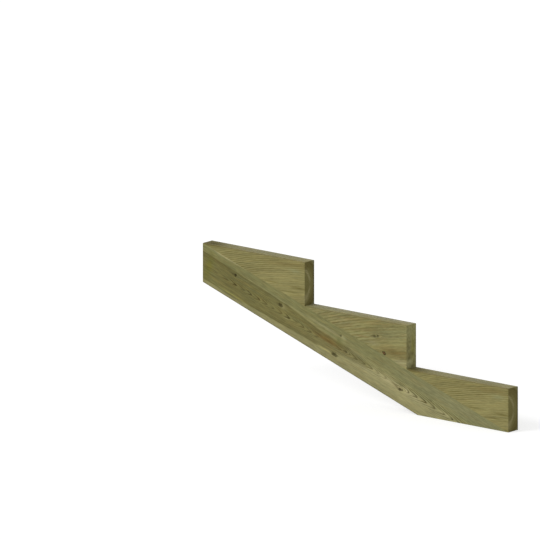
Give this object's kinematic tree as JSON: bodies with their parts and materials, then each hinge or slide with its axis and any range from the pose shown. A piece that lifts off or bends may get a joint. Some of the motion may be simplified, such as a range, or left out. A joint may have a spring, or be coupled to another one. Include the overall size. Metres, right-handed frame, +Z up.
{
  "type": "stair stringer",
  "caption": "Timber stair stringer: a sloping bearer board with triangular step blocks glued along its upper edge, plumb cut at the top and level at the foot.",
  "frame": {"origin": "on the ground under the middle of the stringer, halfway through the timber", "axes": "+Z up, +X level and down the stair, Y through the timber's thickness"},
  "size_m": [1.2, 0.045, 0.405],
  "materials": {
    "bearer_timber": "planed pressure-treated softwood, matt olive green",
    "upper_block_timber": "planed pressure-treated softwood, matt olive green",
    "middle_block_timber": "planed pressure-treated softwood, matt olive green",
    "lower_block_timber": "planed pressure-treated softwood, matt olive green"
  },
  "bodies": {
    "root": {"bearer_board": "bearer_timber", "upper_step_block": "upper_block_timber", "middle_step_block": "middle_block_timber", "lower_step_block": "lower_block_timber"}
  },
  "joints": []
}
